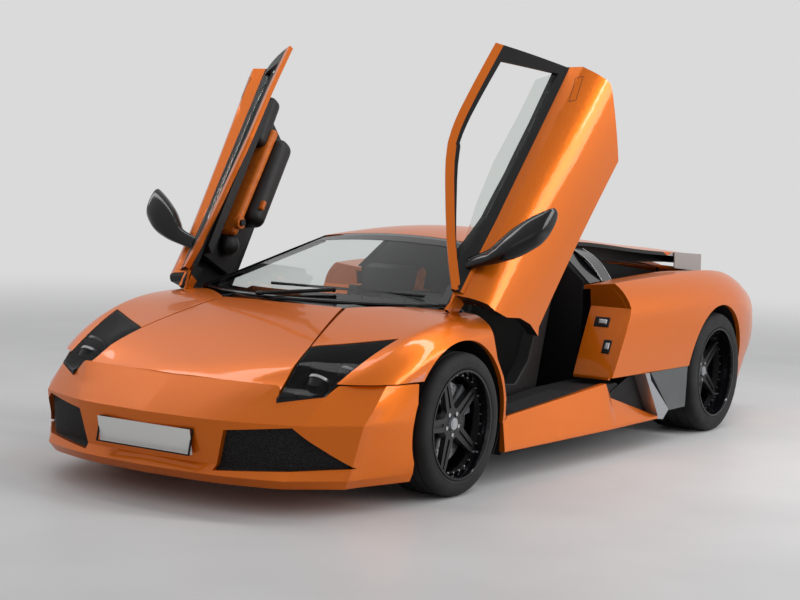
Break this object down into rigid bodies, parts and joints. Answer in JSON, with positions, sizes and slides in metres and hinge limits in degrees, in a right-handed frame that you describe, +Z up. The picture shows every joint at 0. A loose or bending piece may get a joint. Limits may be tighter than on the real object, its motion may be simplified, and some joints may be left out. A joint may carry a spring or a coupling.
{
  "type": "supercar",
  "caption": "Low orange two-seat mid-engined sports car with upward-turning doors raised, black alloy wheels and wedge nose.",
  "frame": {"origin": "ground level under the middle of the car, on its centre plane", "axes": "+Z up, the car faces -Y, its left side is +X"},
  "size_m": [2.3706, 4.604, 2.0431],
  "materials": {
    "paint": "pearl orange lacquer",
    "frame_black": "satin black",
    "trim_black": "grained black",
    "gloss_black": "polished black",
    "grey": "satin grey",
    "silver": "satin silver",
    "screen_glass": "tinted clear",
    "lamp_glass": "smoked clear",
    "tail_glass": "red clear",
    "tyre": "black rubber",
    "rim": "dark satin grey",
    "steel": "brushed",
    "iron": "cast",
    "leather": "black leather",
    "plate_white": "white, blank"
  },
  "bodies": {
    "chassis": {"cowl": "trim_black", "dashboard": "leather", "diffuser": "trim_black", "door_jambs": "paint", "engine": "iron", "exhaust": "steel", "floor_tub": "frame_black", "front_bumper": "paint", "front_fenders": "paint", "front_frame": "frame_black", "headlamp_lenses": "lamp_glass", "headlamps": "trim_black", "hub_carriers_rear": "iron", "intake_blades": "silver", "intake_grilles": "trim_black", "number_plate": "plate_white", "quarter_glass": "gloss_black", "quarter_lower": "grey", "quarter_panels": "paint", "rear_bumper": "paint", "rear_frame": "frame_black", "rear_grille": "trim_black", "roof_frame": "paint", "seats": "leather", "side_ducts": "gloss_black", "side_skirts": "paint", "suspension_arms": "silver", "tail_lamps": "tail_glass", "windshield": "screen_glass"},
    "hood": {"hood": "paint"},
    "engine_cover": {"engine_cover": "paint"},
    "spoiler": {"spoiler": "paint"},
    "flap_left": {"flap_left": "paint"},
    "flap_right": {"flap_right": "paint"},
    "door_left": {"door_left_shell": "paint", "door_left_glass": "screen_glass", "door_left_trim": "leather", "door_left_mirror": "gloss_black"},
    "door_right": {"door_right_shell": "paint", "door_right_glass": "screen_glass", "door_right_trim": "leather", "door_right_mirror": "gloss_black"},
    "steering_wheel": {"steering_wheel": "leather"},
    "knuckle_left": {"knuckle_fl": "iron"},
    "knuckle_right": {"knuckle_fr": "iron"},
    "wheel_fl": {"tyre_fl": "tyre", "rim_fl": "rim"},
    "wheel_fr": {"tyre_fr": "tyre", "rim_fr": "rim"},
    "wheel_rl": {"tyre_rl": "tyre", "rim_rl": "rim"},
    "wheel_rr": {"tyre_rr": "tyre", "rim_rr": "rim"}
  },
  "joints": [
    {"name": "door_left_hinge", "type": "hinge", "parent": "chassis", "child": "door_left", "pos_m": [0.8, -1.18, 0.735], "axis": [0.996, 0.0398, -0.0797], "range_deg": [-51.5, 0]},
    {"name": "door_right_hinge", "type": "hinge", "parent": "chassis", "child": "door_right", "pos_m": [-0.8, -1.18, 0.735], "axis": [0.996, -0.0398, 0.0797], "range_deg": [-51.5, 0]},
    {"name": "hood_hinge", "type": "hinge", "parent": "chassis", "child": "hood", "pos_m": [0, -1.384, 0.776], "axis": [-1, 0, 0], "range_deg": [0, 55]},
    {"name": "engine_cover_hinge", "type": "hinge", "parent": "chassis", "child": "engine_cover", "pos_m": [0, 0.495, 1.08], "axis": [1, 0, 0], "range_deg": [0, 45]},
    {"name": "spoiler_hinge", "type": "hinge", "parent": "chassis", "child": "spoiler", "pos_m": [0, 2.035, 0.876], "axis": [1, 0, 0], "range_deg": [0, 50]},
    {"name": "flap_left_hinge", "type": "hinge", "parent": "chassis", "child": "flap_left", "pos_m": [0, 0.5, 1.0615], "axis": [1, 0, 0], "range_deg": [-3.4, 0]},
    {"name": "flap_right_hinge", "type": "hinge", "parent": "chassis", "child": "flap_right", "pos_m": [0, 0.5, 1.0615], "axis": [1, 0, 0], "range_deg": [-3.4, 0]},
    {"name": "steer_left", "type": "hinge", "parent": "chassis", "child": "knuckle_left", "pos_m": [0.8, -1.295, 0.319], "axis": [0, 0, 1], "range_deg": [-32, 32]},
    {"name": "steer_right", "type": "hinge", "parent": "chassis", "child": "knuckle_right", "pos_m": [-0.8, -1.295, 0.319], "axis": [0, 0, 1], "range_deg": [-32, 32]},
    {"name": "steering_wheel_turn", "type": "hinge", "parent": "chassis", "child": "steering_wheel", "pos_m": [0.365, -0.56, 0.64], "axis": [0, 0.9135, 0.4067], "range_deg": [-520, 520]},
    {"name": "roll_fl", "type": "hinge", "parent": "knuckle_left", "child": "wheel_fl", "pos_m": [0.8455, -1.295, 0.319], "axis": [1, 0, 0], "continuous": true},
    {"name": "roll_fr", "type": "hinge", "parent": "knuckle_right", "child": "wheel_fr", "pos_m": [-0.8455, -1.295, 0.319], "axis": [1, 0, 0], "continuous": true},
    {"name": "roll_rl", "type": "hinge", "parent": "chassis", "child": "wheel_rl", "pos_m": [0.8465, 1.37, 0.338], "axis": [1, 0, 0], "continuous": true},
    {"name": "roll_rr", "type": "hinge", "parent": "chassis", "child": "wheel_rr", "pos_m": [-0.8465, 1.37, 0.338], "axis": [1, 0, 0], "continuous": true}
  ],
  "couplings": [
    {"joint": "steer_right", "follows": "steer_left", "ratio": 1},
    {"joint": "steering_wheel_turn", "follows": "steer_left", "ratio": 16}
  ]
}
